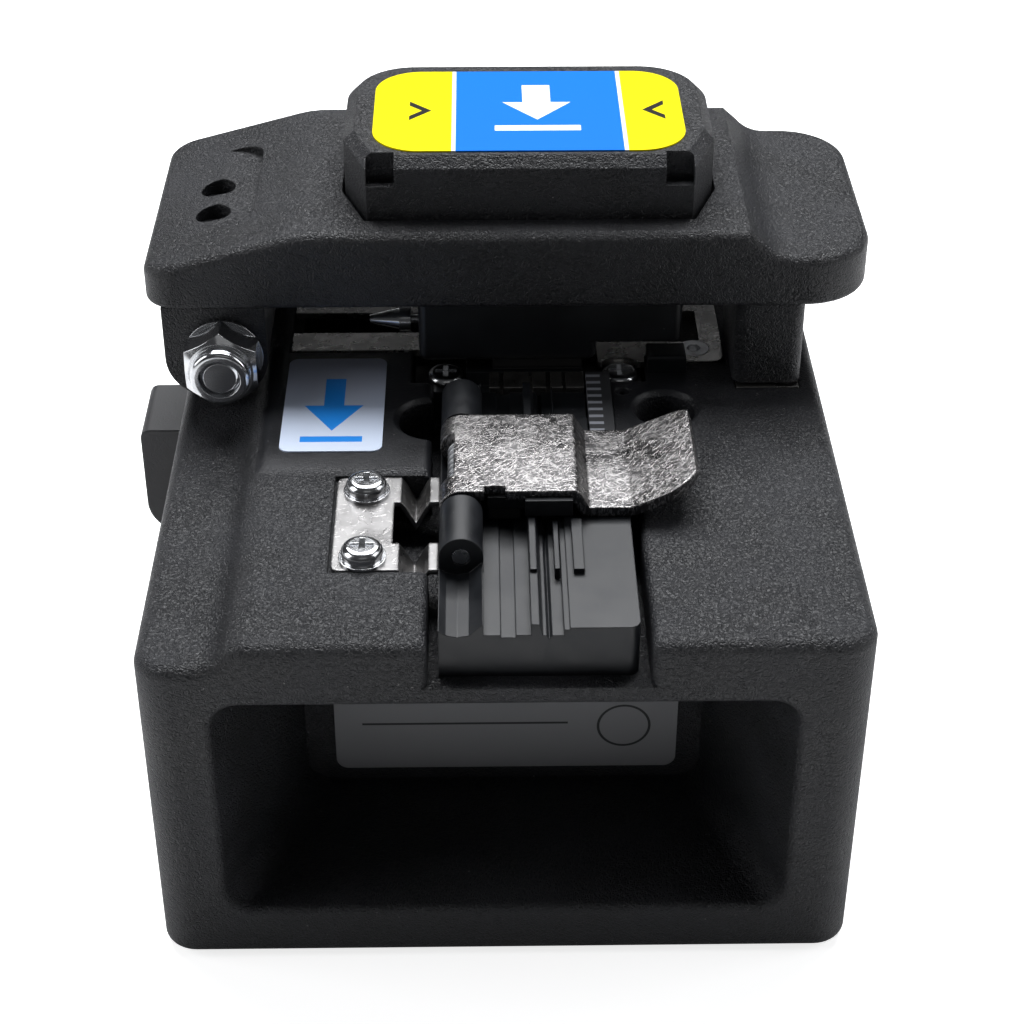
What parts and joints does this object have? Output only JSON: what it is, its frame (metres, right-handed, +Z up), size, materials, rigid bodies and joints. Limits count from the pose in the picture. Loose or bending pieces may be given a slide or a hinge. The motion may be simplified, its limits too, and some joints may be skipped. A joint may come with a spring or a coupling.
{
  "type": "fibre cleaver",
  "caption": "Desktop cleaver for optical fibre: cast body, sliding blade, lift-out grooved adapter with a lid, and a clamping lever with a press cap.",
  "frame": {"origin": "middle of the body's footprint, on the resting plane", "axes": "+Z up, +Y to the back along the fibre, +X to the right along the blade's travel"},
  "size_m": [0.0744, 0.072, 0.0602],
  "materials": {
    "black_coat": "fine textured powder coat, satin",
    "black_anodised": "satin black anodised",
    "plain_aluminium": "satin",
    "nickel_sheet": "nickel plated, worn and scratched",
    "bright_steel": "bright zinc or nickel plate",
    "rail_steel": "ground",
    "hard_metal": "ground hard metal",
    "spring_steel": "drawn wire",
    "black_oxide": "black oxide",
    "black_rubber": "matt",
    "black_plastic": "fine moulded grain",
    "bronze": "sintered bronze",
    "silver_label": "satin silver film",
    "white_label": "white film with a plain blue pictogram",
    "colour_label": "yellow and blue film blocks with a plain arrow"
  },
  "bodies": {
    "base": {"body_casting": "black_coat", "bottom_cover": "plain_aluminium", "cover_screws": "black_oxide", "base_pad": "black_rubber", "pocket_label": "silver_label", "setting_label": "white_label", "leaf_spring": "nickel_sheet", "leaf_washers": "bright_steel", "leaf_screws": "bright_steel", "length_scale": "black_anodised", "lower_seat_front": "black_anodised", "lower_seat_rear": "black_anodised", "lower_pads": "black_rubber", "seat_screws": "bright_steel", "seat_face_plate": "nickel_sheet", "blade_guard": "nickel_sheet", "guard_screws": "bright_steel", "stop_block": "black_anodised", "keeper_plate": "bright_steel", "linear_rail": "rail_steel", "rail_screws": "black_oxide", "hinge_bolt": "bright_steel", "hinge_washers": "bright_steel", "lock_nut": "bright_steel"},
    "carriage": {"slide_block": "rail_steel", "blade_carrier": "plain_aluminium", "carrier_screws": "black_oxide", "slider_knob_left": "black_plastic", "slider_knob_right": "black_plastic", "knob_screws": "black_oxide", "blade_axle": "rail_steel", "blade_washer": "rail_steel"},
    "blade": {"blade_wheel": "hard_metal", "blade_hub": "rail_steel"},
    "adapter": {"adapter_base": "black_anodised", "lid_magnet": "bright_steel", "lid_pin": "rail_steel", "lid_spring": "spring_steel"},
    "lid": {"adapter_lid": "nickel_sheet", "lid_holder": "black_anodised", "lid_pads": "black_rubber"},
    "lever": {"lever_arm": "black_coat", "hinge_ear": "black_coat", "ear_screws": "black_oxide", "hinge_bushes": "bronze", "closing_post": "black_coat", "post_magnet": "bright_steel", "post_screw": "black_oxide", "clamp_head": "black_anodised", "head_screws": "black_oxide", "pointed_pin": "bright_steel"},
    "press_cap": {"press_cap": "black_coat", "cap_label": "colour_label", "cap_springs": "spring_steel", "anvil_stem": "rail_steel", "stem_clip": "spring_steel", "anvil": "black_rubber"},
    "clamp_pads": {"pad_holders": "black_anodised", "upper_pads": "black_rubber", "pad_springs": "spring_steel"}
  },
  "joints": [
    {"name": "lever_open", "type": "hinge", "parent": "base", "child": "lever", "pos_m": [-0.02725, 0.014, 0.04065], "axis": [0, -1, 0], "range_deg": [0, 70]},
    {"name": "blade_slide", "type": "slide", "parent": "base", "child": "carriage", "axis": [1, 0, 0], "range_m": [0, 0.007]},
    {"name": "blade_index", "type": "hinge", "parent": "carriage", "child": "blade", "pos_m": [0.00025, 0.0192, 0.02905], "axis": [0, 1, 0], "continuous": true},
    {"name": "adapter_lift", "type": "slide", "parent": "base", "child": "adapter", "axis": [0, 0, 1], "range_m": [0, 0.01]},
    {"name": "lid_open", "type": "hinge", "parent": "adapter", "child": "lid", "pos_m": [-0.0038, -0.011, 0.03825], "axis": [0, -1, 0], "range_deg": [0, 105], "stiffness_Nm_per_rad": 0.001, "springref_deg": -28.65},
    {"name": "cap_press", "type": "slide", "parent": "lever", "child": "press_cap", "axis": [0, 0, -1], "range_m": [0, 0.0016], "stiffness_N_per_m": 3000, "springref_m": -0.001, "deforming": ["cap_springs"]},
    {"name": "clamp_pads_lift", "type": "slide", "parent": "lever", "child": "clamp_pads", "axis": [0, 0, 1], "range_m": [0, 0.0006], "stiffness_N_per_m": 2000, "springref_m": -0.001, "deforming": ["pad_springs"]}
  ]
}
